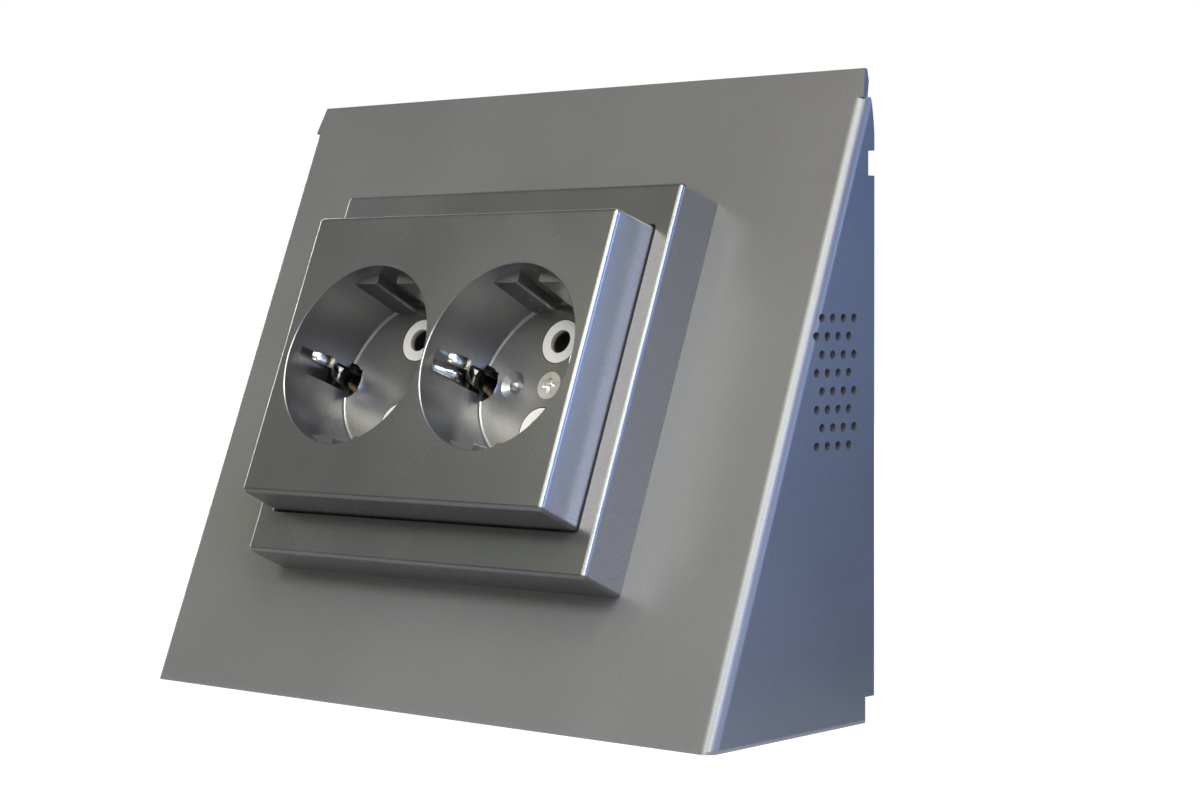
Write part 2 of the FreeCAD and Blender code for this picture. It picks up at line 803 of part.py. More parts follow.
def make_support_screws():
    screws = []
    for x, y in support_screw_places():
        screw = pan_screw(support_screw_radius, support_head_radius, support_head_height,
                          support_screw_length)
        screw.translate(Vector(x, y, support_sheet))
        screws.append(screw)
    return Part.makeCompound(screws)


def rivet_places():
    return [(side * rivet_spacing / 2, end * rivet_y / 2) for side in socket_sides for end in socket_sides]


def make_rivets():
    rivets = []
    for x, y in rivet_places():
        shank = rod(rivet_radius, x, y, 0, flange_top)
        head = rod(rivet_head, x, y, flange_top, flange_top + rivet_head_height)
        head = head.makeFillet(rivet_head_height / 2, edges_at(head, flange_top + rivet_head_height))
        rivets.append(shank.fuse(head).removeSplitter())
    return Part.makeCompound(rivets)


# Socket base: the insulating body that holds every contact
def pin_places():
    return [(x, end * pin_pitch / 2) for x in socket_centres() for end in socket_sides]


def clip_places():
    return [(x, side) for x in socket_centres() for side in socket_sides]


def make_base():
    body = centred_box(base_width, base_length, base_rear, flange_bottom + mould_overlap)
    flange = rounded_box(base_flange_width, base_flange_length, flange_bottom, flange_top, base_corner)
    chamber = centred_box(base_width - 2 * base_wall, base_length - 2 * base_wall,
                          2 * base_rear, chamber_top)
    base = body.fuse(flange).cut(chamber)
    ribs = []
    low = earth_level + base_play
    rib_y = pin_pitch / 4
    for side in socket_sides:
        ribs.append(box((-base_width / 2 + base_wall / 2, side * rib_y - chamber_rib / 2, low),
                        (base_width / 2 - base_wall / 2, side * rib_y + chamber_rib / 2,
                         chamber_top + mould_overlap)))
    x = socket_centres()[1]
    bush_low = bush_range()[0]
    bush_outer = cover_screw_radius + fit_clearance + bush_wall
    ribs.append(rod(bush_outer + 2 * fit_clearance + base_wall, x, 0, bush_low - base_wall,
                    chamber_top + mould_overlap))
    collars = [rod(collar_radius, px, py, flange_bottom, floor_level) for px, py in pin_places()]
    holes = [rod(pin_bore, px, py, flange_bottom, floor_level + 1) for px, py in pin_places()]
    holes += [rod(pin_pocket, px, py, base_rear, floor_level - pin_lip) for px, py in pin_places()]
    holes.append(rod(bush_outer + fit_clearance, x, 0, bush_low, cover_top))
    holes.append(rod(cover_screw_radius + base_play, x, 0, bush_low - 2 * base_wall, bush_low + base_wall))
    for centre, side in clip_places():
        inner = centre + side * (clip_root_reach - earth_pocket_inside)
        outer = centre + side * (clip_root_reach + earth_pocket_outside)
        holes.append(box((min(inner, outer), -earth_slot_half, 2 * chamber_top),
                         (max(inner, outer), earth_slot_half, cover_top)))
        near = centre + side * (earth_hole_reach - earth_well_radius)
        column = box((min(near, outer), -earth_well_radius, 2 * chamber_top),
                     (max(near, outer), earth_well_radius, cover_top))
        holes.append(column.common(rod(earth_well_radius, centre + side * earth_hole_reach, 0,
                                       2 * chamber_top, cover_top)))
    for x, y in rivet_places():
        holes.append(rod(rivet_radius + fit_clearance, x, y, 0, cover_top))
    half = earth_tab_width / 2 + button_clearance
    holes.append(box((earth_tab_x - half, -base_length, earth_level - rail_sheet - button_clearance),
                     (earth_tab_x + half, 0, earth_level + button_clearance)))
    return base.fuse(ribs + collars).cut(holes).removeSplitter()


# Rails: one strip each for line, neutral and earth, with a tail into its terminal
def tail(x, start_y, level):
    half = tail_width / 2
    front = block_low + block_wall + tail_set
    flat = box((x - half, min(start_y, tail_back), level - rail_sheet),
               (x + half, max(start_y, tail_back), level))
    down = box((x - half, tail_back, tail_level - rail_sheet), (x + half, tail_back + rail_sheet, level))
    seat = box((x - half, front, tail_level - rail_sheet), (x + half, tail_back + rail_sheet, tail_level))
    return [flat, down, seat]


def pin_rail(end, x):
    y = end * pin_pitch / 2
    half = socket_pitch / 2 + leaf_width / 2 + 1
    bar = box((-half, y - rail_width / 2, rail_level - rail_sheet), (half, y + rail_width / 2, rail_level))
    return bar.fuse(tail(x, y, rail_level)).removeSplitter()


def earth_rail():
    reach = socket_pitch / 2 + clip_root_reach + earth_sheet / 2
    bar = box((-reach, -earth_width / 2, earth_level - rail_sheet), (reach, earth_width / 2, earth_level))
    uprights = []
    for centre, side in clip_places():
        middle = centre + side * clip_root_reach
        uprights.append(box((middle - earth_sheet / 2, -earth_width / 2, earth_level - rail_sheet / 2),
                            (middle + earth_sheet / 2, earth_width / 2, clip_root_level() - clip_root_gap)))
    half = earth_tab_width / 2
    tab = box((earth_tab_x - half, block_low - earth_tab_reach, earth_level - rail_sheet),
              (earth_tab_x + half, 0, earth_level))
    return bar.fuse(uprights + [tab] + tail(0, 0, earth_level)).removeSplitter()


def clip_root_level():
    return flange_bottom


def earth_clip(centre, side):
    """The bent spring strip that touches the plug's side contact, narrower from its crest to its tip."""
    crest = cover_top - clip_crest_depth
    line = [(clip_root_reach, clip_root_level()), (clip_root_reach, floor_level + clip_knee_height)]
    line += [(clip_crest_reach + clip_crest_bow, crest - clip_crest_low), (clip_crest_reach, crest)]
    line += [(clip_crest_reach + clip_crest_bow, crest + clip_crest_high)]
    line += [(clip_end_reach, cover_top - clip_end_depth)]
    points = [(centre + side * reach, level) for reach, level in line]
    full = strip(points, earth_sheet, -earth_width / 2, earth_width / 2)
    low_edge = earth_width / 2 - earth_tip_width
    near = min(x for x, level in points) - earth_width
    taper = [(near, -earth_width / 2, floor_level), (near, low_edge, crest - clip_crest_low)]
    taper += [(near, low_edge, cover_top), (near, -earth_width, cover_top), (near, -earth_width, floor_level)]
    return full.cut(prism(taper, Vector(3 * earth_width, 0, 0)))


def pin_leaf(x, y, side):
    """One of the two spring leaves that grip a pin, standing on its rail."""
    low = rail_level + leaf_root_gap
    reach = leaf_gap / 2 + leaf_sheet / 2
    foot = reach + leaf_foot_set
    mouth = chamber_top - leaf_mouth_gap
    grip = mouth - leaf_mouth_height
    line = [(foot, low), (foot, low + leaf_foot_height), (reach, grip), (reach + leaf_flare, mouth)]
    return across_strip([(y + side * away, level) for away, level in line], x, leaf_width, leaf_sheet)


# Rear: insulating plate and terminal block with its clamps and release buttons
def make_rear_plate():
    plate = centred_box(base_width, base_length, rear_face, base_rear)
    slots = []
    for name, x in terminals:
        half = tail_width / 2 + button_clearance
        slots.append(box((x - half, tail_back - button_clearance, rear_face - 1),
                         (x + half, tail_back + rail_sheet + button_clearance, base_rear + 1)))
    return plate.cut(slots)


def wire_level():
    return tail_level - rail_sheet - wire_hole


def make_block():
    body = box((-block_width / 2, block_low, block_rear), (block_width / 2, block_top, rear_face))
    cuts = []
    half = terminal_pitch / 2 - block_wall / 2
    wide = button_width / 2 + button_clearance
    thick = button_thickness / 2 + button_clearance
    for name, x in terminals:
        cuts.append(box((x - half, block_low + block_wall, block_rear + block_wall),
                        (x + half, block_top - block_wall, rear_face + 1)))
        hole = Vector(x - wire_offset, block_low - block_wall, wire_level())
        cuts.append(Part.makeCylinder(wire_hole, 3 * block_wall, hole, Vector(0, 1, 0)))
        cuts.append(box((x + wire_offset - wide, block_low - block_wall, wire_level() - thick),
                        (x + wire_offset + wide, block_low + 2 * block_wall, wire_level() + thick)))
    return body.cut(cuts)


def clamp_root():
    """The bend of the clamp spring, as (y, z): the leaf starts here and slopes up to the tail."""
    level = block_rear + block_wall + clamp_leg_gap + clamp_sheet / 2
    return block_low + block_wall + tail_set + clamp_sheet, level


def leaf_root():
    y, z = clamp_root()
    return y, z + clamp_root_gap + 2 * clamp_sheet


def leaf_run(rise):
    """How far the leaf runs inwards while it rises by the given height."""
    return rise / math.tan(math.radians(clamp_slope))


def make_clamp_leg(x):
    y, z = clamp_root()
    back = tail_back - clamp_sheet
    points = [(y, z), (back, z), (back, z + 3 * clamp_sheet)]
    return across_strip(points, x, clamp_width, clamp_sheet)


def make_clamp_leaf(x):
    y, z = leaf_root()
    rise = tail_level - rail_sheet - clamp_tip_gap - z
    return across_strip([(y, z), (y + leaf_run(rise), z + rise)], x, clamp_width, clamp_sheet)


def make_button(x):
    """The release button beside the wire hole: pressed inwards, it pushes the leaf off the wire."""
    thick = button_thickness / 2
    level = wire_level()
    middle = x + wire_offset
    inside = block_low + block_wall + button_clearance
    y, z = leaf_root()
    aside = clamp_sheet / 2 / math.sin(math.radians(clamp_slope))
    tip = y + leaf_run(level - thick - z) - aside - button_gap
    half = button_width / 2
    body = box((middle - half, block_low - button_travel - button_rest, level - thick),
               (middle + half, tip, level + thick))
    flange = box((middle - half - button_flange, inside, level - thick),
                 (middle + half + button_flange, inside + button_flange, level + thick))
    return body.fuse(flange).removeSplitter()


def main():
    os.makedirs("parts", exist_ok=True)
    save("hood", make_hood())
    save("wall_bracket", make_bracket())
    save("cable_grommet", make_grommet())
    save("hanger_hooks", make_hooks())
    save("fixing_angles", make_angles())
    save("hood_screws", make_hood_screws())
    flat_pieces = {
        "earth_stud": make_stud(),
        "stud_washer": make_washer(),
        "stud_nut": make_nut(),
        "bonding_lead": make_lead(),
        "ring_lug": make_lug(),
        "tab_receptacle": make_receptacle(),
        "cover_frame": make_frame(),
        "socket_cover": make_cover(),
        "cover_screw": make_cover_screw(),
        "threaded_bush": make_bush(),
        "support_plate": make_support(),
        "support_screws": make_support_screws(),
        "base_rivets": make_rivets(),
        "socket_base": make_base(),
        "rear_plate": make_rear_plate(),
        "terminal_block": make_block(),
        "line_rail": pin_rail(1, terminal_pitch),
        "neutral_rail": pin_rail(-1, -terminal_pitch),
        "earth_rail": earth_rail(),
    }
    for name, x in terminals:
        flat_pieces["clamp_leg_" + name] = make_clamp_leg(x)
        flat_pieces["clamp_leaf_" + name] = make_clamp_leaf(x)
        flat_pieces["release_button_" + name] = make_button(x)
    side_names = {-1: "left", 1: "right"}
    end_names = {-1: "neutral", 1: "line"}
    leaf_names = {-1: "lower", 1: "upper"}
    for socket_side, centre in zip(socket_sides, socket_centres()):
        socket = side_names[socket_side]
        for side in socket_sides:
            flat_pieces["earth_clip_%s_%s" % (socket, side_names[side])] = earth_clip(centre, side)
        for end in socket_sides:
            for leaf in socket_sides:
                name = "%s_leaf_%s_%s" % (end_names[end], socket, leaf_names[leaf])
                flat_pieces[name] = pin_leaf(centre, end * pin_pitch / 2, leaf)
    for name, shape in flat_pieces.items():
        save(name, on_plate(shape))


main()
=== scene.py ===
import bmesh
import bpy
import math
from mathutils import Matrix, Vector


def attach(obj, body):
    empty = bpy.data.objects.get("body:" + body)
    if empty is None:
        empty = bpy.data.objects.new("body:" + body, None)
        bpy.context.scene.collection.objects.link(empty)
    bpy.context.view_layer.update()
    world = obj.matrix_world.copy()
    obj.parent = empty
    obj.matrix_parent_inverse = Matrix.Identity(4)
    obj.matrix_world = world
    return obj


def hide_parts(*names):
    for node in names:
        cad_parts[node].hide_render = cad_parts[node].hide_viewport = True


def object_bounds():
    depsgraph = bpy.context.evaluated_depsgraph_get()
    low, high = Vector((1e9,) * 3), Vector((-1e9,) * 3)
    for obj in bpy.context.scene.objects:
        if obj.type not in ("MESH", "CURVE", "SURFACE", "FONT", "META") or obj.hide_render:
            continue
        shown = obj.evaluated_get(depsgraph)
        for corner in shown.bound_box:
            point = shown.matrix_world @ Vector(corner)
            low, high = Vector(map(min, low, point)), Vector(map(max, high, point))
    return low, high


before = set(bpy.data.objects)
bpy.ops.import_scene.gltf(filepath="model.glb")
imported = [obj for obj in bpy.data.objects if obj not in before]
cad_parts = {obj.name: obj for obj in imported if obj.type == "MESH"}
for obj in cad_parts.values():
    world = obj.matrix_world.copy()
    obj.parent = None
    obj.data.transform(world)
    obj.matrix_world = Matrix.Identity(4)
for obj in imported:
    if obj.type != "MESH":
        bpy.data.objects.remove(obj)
cad_low, cad_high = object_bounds()

# Viewpoint and light: the photograph is taken from the right, a little above the worktop. A soft lamp
# high up in front lights the housing, bluish light comes from the right, and the lacquer mirrors a dim
# room. The white worktop under the housing runs on into a white background.
viewpoint = Vector((0.3677, -0.41887, 0.02978))
view_turn = math.radians(40.73)
view_tip = math.radians(87.97)
view_roll = math.radians(-0.17)
lens_length = 77.66
sensor_width = 36
nearest_seen = 0.01
farthest_seen = 20

camera_data = bpy.data.cameras.new("viewpoint")
camera_data.lens = lens_length
camera_data.sensor_width = sensor_width
camera_data.clip_start = nearest_seen
camera_data.clip_end = farthest_seen
camera = bpy.data.objects.new("viewpoint", camera_data)
camera.matrix_world = (Matrix.Translation(viewpoint) @ Matrix.Rotation(view_turn, 4, "Z")
                       @ Matrix.Rotation(view_tip, 4, "X") @ Matrix.Rotation(view_roll, 4, "Z"))
bpy.context.scene.collection.objects.link(camera)
bpy.context.scene.camera = camera
bpy.context.scene.view_settings.view_transform = "Standard"

node_spacing = 220


def node(tree, kind, place, **settings):
    """Adds one shader node at a place in the graph; the settings go on it or on its inputs."""
    made = tree.nodes.new(kind)
    made.location = (place[0] * node_spacing, place[1] * node_spacing)
    for name, value in settings.items():
        if hasattr(made, name):
            setattr(made, name, value)
        else:
            made.inputs[name.replace("_", " ")].default_value = value
    return made


def seen_directly(tree):
    """One for what the eye, a mirror or clear plastic sees of the background, else zero."""
    ray = node(tree, "ShaderNodeLightPath", (-4, 2))
    by_eye_or_mirror = node(tree, "ShaderNodeMath", (-3, 2), operation="MAXIMUM")
    by_any = node(tree, "ShaderNodeMath", (-2, 2), operation="MAXIMUM")
    tree.links.new(ray.outputs["Is Camera Ray"], by_eye_or_mirror.inputs[0])
    tree.links.new(ray.outputs["Is Glossy Ray"], by_eye_or_mirror.inputs[1])
    tree.links.new(by_eye_or_mirror.outputs[0], by_any.inputs[0])
    tree.links.new(ray.outputs["Is Transmission Ray"], by_any.inputs[1])
    return by_any.outputs[0]


room_light = 0.02
world = bpy.data.worlds.new("room")
bpy.context.scene.world = world
world.use_nodes = True
room = world.node_tree
room.nodes.clear()
fill = node(room, "ShaderNodeBackground", (0, 1), Color=(1.0, 0.985, 0.95, 1), Strength=room_light)
white = node(room, "ShaderNodeBackground", (0, 0), Color=(1, 1, 1, 1), Strength=1.0)
choice = node(room, "ShaderNodeMixShader", (1, 1))
room_out = node(room, "ShaderNodeOutputWorld", (2, 1))
room.links.new(seen_directly(room), choice.inputs[0])
room.links.new(fill.outputs[0], choice.inputs[1])
room.links.new(white.outputs[0], choice.inputs[2])
room.links.new(choice.outputs[0], room_out.inputs[0])


def soft_lamp(name, towards, distance, width, height, colour, radiance):
    """A flat lamp that looks at the middle of the housing from the given direction."""
    data = bpy.data.lights.new(name, "AREA")
    data.shape = "RECTANGLE"
    data.size = width
    data.size_y = height
    data.color = colour
    data.energy = radiance * math.pi * width * height
    lamp = bpy.data.objects.new(name, data)
    direction = Vector(towards).normalized()
    lamp.matrix_world = (Matrix.Translation(direction * distance)
                         @ direction.to_track_quat("Z", "Y").to_matrix().to_4x4())
    lamp.visible_camera = False
    bpy.context.scene.collection.objects.link(lamp)


# Each lamp: its direction, distance, width, height, colour and radiance.
soft_lamp("key_light", (0.07, -0.79, 0.62), 3.3, 1.05, 0.75, (0.84, 0.93, 1.0), 19.5)
soft_lamp("skylight", (0.37, -0.41, 0.83), 1.0, 0.35, 0.35, (1.0, 0.98, 0.92), 8.8)
soft_lamp("edge_light", (0.62, -0.63, 0.44), 1.0, 0.28, 0.5, (1.0, 0.9, 0.81), 7.9)
soft_lamp("cool_edge_light", (0.8, -0.47, 0.38), 1.0, 0.3, 0.4, (0.17, 0.36, 1.0), 7.6)
soft_lamp("window", (0.91, 0.41, 0.13), 0.9, 0.36, 0.45, (0.26, 0.44, 1.0), 4.8)
soft_lamp("front_light", (0.15, -0.98, 0.12), 1.0, 0.5, 0.3, (1.0, 0.85, 0.88), 1.3)
soft_lamp("left_light", (-0.9, 0.35, 0.25), 1.0, 0.5, 0.5, (1.0, 1.0, 1.0), 7.0)
soft_lamp("back_light", (-0.3, 0.9, 0.3), 1.2, 0.7, 0.5, (1.0, 1.0, 1.0), 6.0)

# What the lacquer mirrors: each glow is brightest at so many degrees round from the right and so many
# up, fades over so many degrees round and up, and has a colour. The last one covers the whole ceiling.
all_round = 100000
room_glows = [
    (0, 0, 45, 30, (1.0, 1.2, 1.6)),
    (0, 30, 45, 30, (0.25, 0.3, 0.55)),
    (0, 60, 45, 30, (0.35, 0.45, 0.9)),
    (45, 0, 45, 30, (0.0, 0.1, 0.4)),
    (45, 30, 45, 30, (0.1, 0.15, 0.5)),
    (50, 15, 45, 18, (0.0, 0.25, 0.9)),
    (45, 60, 45, 30, (0.25, 0.3, 0.6)),
    (112, 20, 55, 60, (0.75, 0.75, 0.75)),
    (150, 20, 40, 60, (0.6, 0.6, 0.6)),
    (201, 15, 14, 14, (0.7, 0.65, 0.3)),
    (201, 29, 14, 14, (1.0, 1.0, 1.1)),
    (229, 29, 14, 14, (0.45, 0.55, 0.5)),
    (243, 29, 14, 14, (0.65, 0.4, 0.15)),
    (243, 43, 14, 14, (5.2, 4.5, 3.2)),
    (270, 0, 45, 30, (0.4, 0.5, 0.5)),
    (270, 60, 45, 30, (3.25, 3.05, 2.55)),
    (315, 0, 45, 30, (0.3, 0.35, 0.4)),
    (315, 30, 45, 30, (0.3, 0.5, 0.45)),
    (315, 60, 45, 30, (3.2, 3.3, 3.5)),
    (0, 90, all_round, 30, (0.3, 0.4, 0.65))]

# The mirrored worktop, every 45 degrees round from the right: near_glows are its colours just outside
# the housing's foot, from where they fade out to the room's. Up to the foot it is plainly lit or dim.
near_glows = [(0.0, 0.0, 0.0), (0.0, 0.0, 0.0), (0.3, 0.3, 0.3), (0.4, 0.4, 0.4), (0.85, 0.88, 0.8),
              (0.35, 0.32, 0.35), (0.3, 0.3, 0.28), (0.15, 0.15, 0.15)]
near_step = 360 // len(near_glows)
lit_worktop = (0.34, 0.36, 0.4)
dim_worktop = (0.1, 0.1, 0.11)
dim_sides = (1, 2, 3)
under_housing, foot_edge, outside_foot = 0.05, 0.127, 0.133
room_radius = 2.5
grid_step = 3
floor_gap = 0.0006


def room_colour(turn, height):
    """The room's glow in one direction, in degrees round and up, summed from fading patches."""
    total = Vector((0, 0, 0))
    for at_turn, at_height, turn_spread, height_spread, colour in room_glows:
        off_turn = abs((turn - at_turn + 180) % 360 - 180) / turn_spread
        off_height = abs(height - at_height) / height_spread
        total += Vector(colour) * max(0.0, 1 - off_turn) * max(0.0, 1 - off_height)
    return (*total, 1)


def on_dome(radius, turn, height):
    """The point of a dome that lies in one direction, in degrees round and up."""
    turn, height = math.radians(turn), math.radians(height)
    level = math.cos(height)
    return Vector((math.cos(turn) * level, math.sin(turn) * level, math.sin(height))) * radius


turns = range(0, 360, grid_step)
heights = range(0, 90, grid_step)
corners, colours, panels = [], [], []
for height in heights:
    for turn in turns:
        corners.append(on_dome(room_radius, turn, height))
        colours.append(room_colour(turn, height))
        if height == 0:
            corners[-1].z = cad_low.z + floor_gap
corners.append(on_dome(room_radius, 0, 90))
colours.append(room_colour(0, 90))
row = len(turns)
last_row = len(heights) - 1
top_corner = len(corners) - 1
for k in range(row):
    beside = (k + 1) % row
    panels += [(j * row + k, j * row + beside, (j + 1) * row + beside, (j + 1) * row + k)
               for j in range(last_row)]
    panels.append((last_row * row + k, last_row * row + beside, top_corner))
near_start = len(corners)
for k, colour in enumerate(near_glows):
    bounce = dim_worktop if k in dim_sides else lit_worktop
    far_colour = room_colour(near_step * k, 0)
    rings = ((under_housing, bounce), (foot_edge, bounce), (outside_foot, colour), (room_radius, far_colour))
    for radius, shown in rings:
        corners.append(on_dome(radius, near_step * k, 0))
        corners[-1].z = cad_low.z + floor_gap
        colours.append((*shown[:3], 1))
    here = near_start + len(rings) * k
    after = near_start + len(rings) * ((k + 1) % len(near_glows))
    panels += [(here + j, after + j, after + j + 1, here + j + 1) for j in range(len(rings) - 1)]
room_mesh = bpy.data.meshes.new("reflected_room")
room_mesh.from_pydata(corners, [], panels)
glow_colours = room_mesh.color_attributes.new("glow", "FLOAT_COLOR", "POINT")
for entry, colour in zip(glow_colours.data, colours):
    entry.color = colour
reflected_room = bpy.data.objects.new("reflected_room", room_mesh)
bpy.context.scene.collection.objects.link(reflected_room)
for kind in ("camera", "diffuse", "shadow", "transmission", "volume_scatter"):
    setattr(reflected_room, "visible_" + kind, False)
room_shade = bpy.data.materials.new("reflected_room")
room_shade.use_nodes = True
shade = room_shade.node_tree
shade.nodes.clear()
glow_source = node(shade, "ShaderNodeAttribute", (-1, 0), attribute_name="glow")
glow_shine = node(shade, "ShaderNodeEmission", (0, 0))
shade_out = node(shade, "ShaderNodeOutputMaterial", (1, 0))
shade.links.new(glow_source.outputs["Color"], glow_shine.inputs["Color"])
shade.links.new(glow_shine.outputs[0], shade_out.inputs[0])
room_mesh.materials.append(room_shade)

worktop_radius = 6.0
worktop_sides = 96
worktop_paint = (0.42, 0.42, 0.42, 1)
glow_near, glow_far = 0.74, 1.05
glow_from, glow_to = 0.3, 0.9
floor_mesh = bpy.data.meshes.new("worktop")
surface = bmesh.new()
bmesh.ops.create_circle(surface, cap_ends=True, radius=worktop_radius, segments=worktop_sides)
bmesh.ops.translate(surface, verts=surface.verts, vec=(0, 0, cad_low.z))
surface.to_mesh(floor_mesh)
surface.free()
floor = bpy.data.objects.new("worktop", floor_mesh)
bpy.context.scene.collection.objects.link(floor)
worktop = bpy.data.materials.new("white_worktop")
worktop.use_nodes = True
top = worktop.node_tree
top.nodes.clear()
matt_white = node(top, "ShaderNodeBsdfDiffuse", (0, 1), Color=worktop_paint)
spot = node(top, "ShaderNodeNewGeometry", (-3, 0))
away = node(top, "ShaderNodeVectorMath", (-2, 0), operation="LENGTH")
outwards = node(top, "ShaderNodeMapRange", (-1, 0), From_Min=glow_from, From_Max=glow_to,
                To_Min=glow_near, To_Max=glow_far)
glow = node(top, "ShaderNodeEmission", (0, 0), Color=(1, 1, 1, 1))
top.links.new(spot.outputs["Position"], away.inputs[0])
top.links.new(away.outputs["Value"], outwards.inputs["Value"])
top.links.new(outwards.outputs["Result"], glow.inputs["Strength"])
shown = node(top, "ShaderNodeAddShader", (1, 0))
worktop_choice = node(top, "ShaderNodeMixShader", (2, 1))
worktop_out = node(top, "ShaderNodeOutputMaterial", (3, 1))
top.links.new(matt_white.outputs[0], shown.inputs[0])
top.links.new(glow.outputs[0], shown.inputs[1])
top.links.new(seen_directly(top), worktop_choice.inputs[0])
top.links.new(matt_white.outputs[0], worktop_choice.inputs[1])
top.links.new(shown.outputs[0], worktop_choice.inputs[2])
top.links.new(worktop_choice.outputs[0], worktop_out.inputs[0])
floor_mesh.materials.append(worktop)


# Hood: one blank of 1.5 mm sheet steel, cut, punched and folded to a slanted front with two cheeks.
# It is sprayed with silver-grey flake lacquer, whose small flakes glint and whose coat clouds a little.
noise_low, noise_high = 0.3, 0.7


def finish_group(name, inputs):
    """A node group with named inputs, each with its usual value, that gives a surface finish."""
    tree = bpy.data.node_groups.new(name, "ShaderNodeTree")
    for label, kind, value in inputs:
        socket = tree.interface.new_socket(label, in_out="INPUT", socket_type="NodeSocket" + kind)
        socket.default_value = value
    for label, kind in (("Colour", "Color"), ("Roughness", "Float"), ("Height", "Float")):
        tree.interface.new_socket(label, in_out="OUTPUT", socket_type="NodeSocket" + kind)
    start = node(tree, "NodeGroupInput", (-6, 0))
    end = node(tree, "NodeGroupOutput", (6, 0))
    return tree, start.outputs, end.inputs


def feed(tree, value, socket):
    """Links another node's output to a socket, or sets a plain value on it."""
    if isinstance(value, bpy.types.NodeSocket):
        tree.links.new(value, socket)
    else:
        socket.default_value = value


def calculate(tree, place, operation, first, second):
    """One step of arithmetic on two values or outputs."""
    made = node(tree, "ShaderNodeMath", place, operation=operation)
    feed(tree, first, made.inputs[0])
    feed(tree, second, made.inputs[1])
    return made.outputs[0]


def spread(tree, place, source, low, high):
    """Maps a noise, which mostly stays in its middle range, onto the range from low to high."""
    made = node(tree, "ShaderNodeMapRange", place, From_Min=noise_low, From_Max=noise_high)
    feed(tree, low, made.inputs["To Min"])
    feed(tree, high, made.inputs["To Max"])
    tree.links.new(source, made.inputs["Value"])
    return made.outputs["Result"]


def around_one(tree, place, source, amount):
    """Maps a noise onto a brightness from one less the amount to one more."""
    low = calculate(tree, (place[0] - 1, place[1]), "SUBTRACT", 1.0, amount)
    high = calculate(tree, (place[0] - 1, place[1] + 1), "ADD", 1.0, amount)
    return spread(tree, place, source, low, high)


def noise(tree, place, scale, detail, stretch=None):
    """Noise that is fixed to the piece; scale counts its grains per metre."""
    where = node(tree, "ShaderNodeTexCoord", (place[0] - 2, place[1]))
    source = where.outputs["Object"]
    if stretch is not None:
        mapping = node(tree, "ShaderNodeMapping", (place[0] - 1, place[1]), Scale=stretch)
        tree.links.new(source, mapping.inputs["Vector"])
        source = mapping.outputs["Vector"]
    made = node(tree, "ShaderNodeTexNoise", place, Detail=detail)
    feed(tree, scale, made.inputs["Scale"])
    tree.links.new(source, made.inputs["Vector"])
    return made.outputs["Fac"]


def measured_along(tree, place, direction):
    """How far each point of the piece lies along a direction, times that direction's length."""
    where = node(tree, "ShaderNodeTexCoord", (place[0] - 1, place[1]))
    made = node(tree, "ShaderNodeVectorMath", place, operation="DOT_PRODUCT")
    tree.links.new(where.outputs["Object"], made.inputs[0])
    tree.links.new(direction, made.inputs[1])
    return made.outputs["Value"]


def complete(tree, given, wanted, brightness, unevenness, height):
    """Ends a group: its colour at a varying brightness, its roughness made uneven, its relief."""
    shaded = node(tree, "ShaderNodeVectorMath", (1, 2), operation="SCALE")
    tree.links.new(given["Colour"], shaded.inputs[0])
    tree.links.new(brightness, shaded.inputs["Scale"])
    tree.links.new(shaded.outputs[0], wanted["Colour"])
    tree.links.new(calculate(tree, (1, 0), "ADD", given["Roughness"], unevenness), wanted["Roughness"])
    tree.links.new(height, wanted["Height"])


flake_relief = 0.25
flake_lacquer, given, wanted = finish_group(
    "flake_lacquer",
    [("Colour", "Color", (0.18, 0.18, 0.17, 1)), ("Flakes", "Float", 0.1), ("Flake Count", "Float", 2600.0),
     ("Clouds", "Float", 0.04), ("Roughness", "Float", 0.42), ("Orange Peel", "Float", 0.5),
     ("Painted Light Slope", "Vector", (0, 0, 0)), ("Level", "Float", 1.0)])
flakes = noise(flake_lacquer, (-3, 2), scale=given["Flake Count"], detail=1.5)
clouds = noise(flake_lacquer, (-3, 0), scale=28.0, detail=3.0)
peel = noise(flake_lacquer, (-3, -2), scale=900.0, detail=1.0)
glint = around_one(flake_lacquer, (-1, 3), flakes, given["Flakes"])
cloudy = around_one(flake_lacquer, (-1, 1), clouds, given["Clouds"])
# Painted light and shade: the colour is scaled by the level plus the distance along the slope direction, so
# that one side of a piece shows lighter and the other darker, standing in for how the light falls across it.
painted_light_factor = calculate(flake_lacquer, (-1, 5), "ADD",
                  measured_along(flake_lacquer, (-2, 5), given["Painted Light Slope"]), given["Level"])
coat = calculate(flake_lacquer, (0, 3), "MULTIPLY", glint, cloudy)
flakes_up = calculate(flake_lacquer, (0, -3), "MULTIPLY", flakes, flake_relief)
peel_up = calculate(flake_lacquer, (0, -2), "MULTIPLY", peel, given["Orange Peel"])
complete(flake_lacquer, given, wanted,
         calculate(flake_lacquer, (0, 2), "MULTIPLY", coat, painted_light_factor),
         spread(flake_lacquer, (-1, -1), clouds, -0.03, 0.03),
         calculate(flake_lacquer, (1, -2), "ADD", peel_up, flakes_up))


def coated(name, effect, values, relief_height, **surface_values):
    """A material whose colour, roughness and relief come from one effect group."""
    material = bpy.data.materials.new(name)
    material.use_nodes = True
    tree = material.node_tree
    tree.nodes.clear()
    group = node(tree, "ShaderNodeGroup", (-3, 0), node_tree=effect)
    for label, value in values.items():
        group.inputs[label].default_value = value
    shader = node(tree, "ShaderNodeBsdfPrincipled", (0, 0), **surface_values)
    relief = node(tree, "ShaderNodeBump", (-1, -2), Strength=1.0, Distance=relief_height)
    out = node(tree, "ShaderNodeOutputMaterial", (2, 0))
    tree.links.new(group.outputs["Colour"], shader.inputs["Base Color"])
    tree.links.new(group.outputs["Roughness"], shader.inputs["Roughness"])
    tree.links.new(group.outputs["Height"], relief.inputs["Height"])
    tree.links.new(relief.outputs["Normal"], shader.inputs["Normal"])
    tree.links.new(shader.outputs[0], out.inputs[0])
    return material


